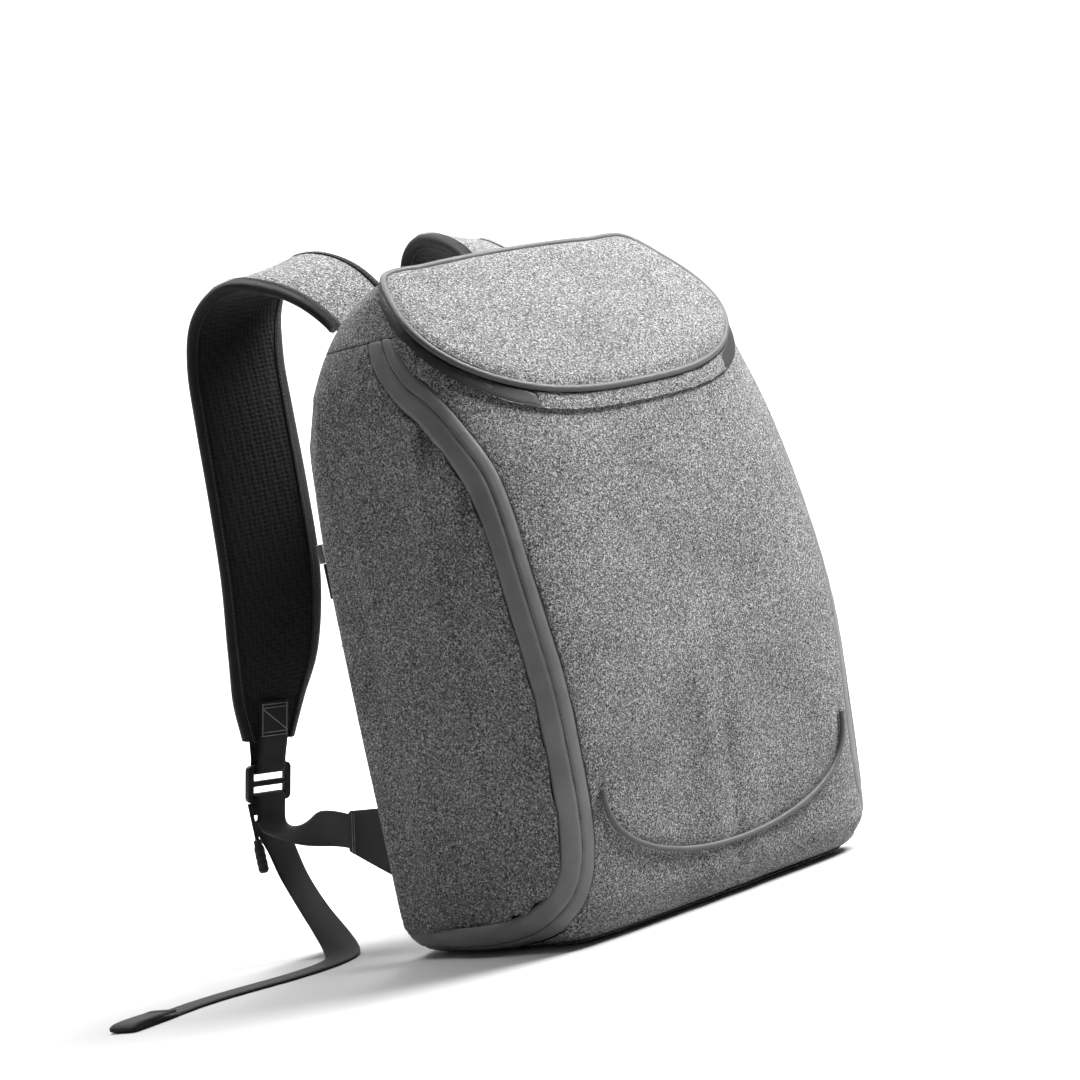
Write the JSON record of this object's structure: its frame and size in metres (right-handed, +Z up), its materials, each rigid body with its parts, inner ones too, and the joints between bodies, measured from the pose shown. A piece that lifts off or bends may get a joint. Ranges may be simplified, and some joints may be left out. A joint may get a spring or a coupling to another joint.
{
  "type": "anti-theft backpack",
  "caption": "Egg-shaped anti-theft backpack of sewn cloth panels with hidden zip bands, a sloping crowned lid, a padded back, padded shoulder straps and loose webbing tails",
  "frame": {"origin": "centre of the base on the floor, on the pack's middle plane", "axes": "+Z up, -Y out of the front panel, +Y towards the wearer's back, +X the pack's right seen from the front"},
  "size_m": [0.644, 0.3644, 0.4846],
  "materials": {
    "heather_cloth": "woven salt-and-pepper heather, matt",
    "coated_cloth": "coated cloth, low sheen",
    "dark_coated_cloth": "dark coated cloth, low sheen",
    "air_mesh": "black spacer mesh",
    "webbing": "flat woven webbing",
    "plastic": "satin moulded",
    "rubber": "soft moulded",
    "metal": "dark lacquer"
  },
  "bodies": {
    "root": {"front_panel": "heather_cloth", "base_panel": "heather_cloth", "top_yoke": "heather_cloth", "back_panel": "air_mesh", "side_panel_left": "heather_cloth", "side_panel_right": "heather_cloth", "zip_band_left": "coated_cloth", "zip_band_right": "coated_cloth", "lid_skirt_centre": "heather_cloth", "lid_skirt_left": "dark_coated_cloth", "lid_skirt_right": "dark_coated_cloth", "lid_piping": "coated_cloth", "lid_top": "heather_cloth", "front_piping": "coated_cloth", "grab_handle": "coated_cloth", "shoulder_strap_left": "heather_cloth", "shoulder_strap_right": "heather_cloth", "strap_loop_left": "webbing", "strap_loop_right": "webbing", "buckle_left": "plastic", "buckle_right": "plastic", "lower_webbing_left": "webbing", "lower_webbing_right": "webbing", "anchor_tab_left": "webbing", "anchor_tab_right": "webbing", "webbing_tail_left": "webbing", "webbing_tail_right": "webbing", "tail_stop_left": "webbing", "tail_stop_right": "webbing", "pull_cord_left": "webbing", "pull_cord_right": "webbing", "pull_toggle_left": "rubber", "pull_toggle_right": "rubber", "back_zip_slider": "metal", "back_zip_pull": "plastic"}
  },
  "joints": []
}
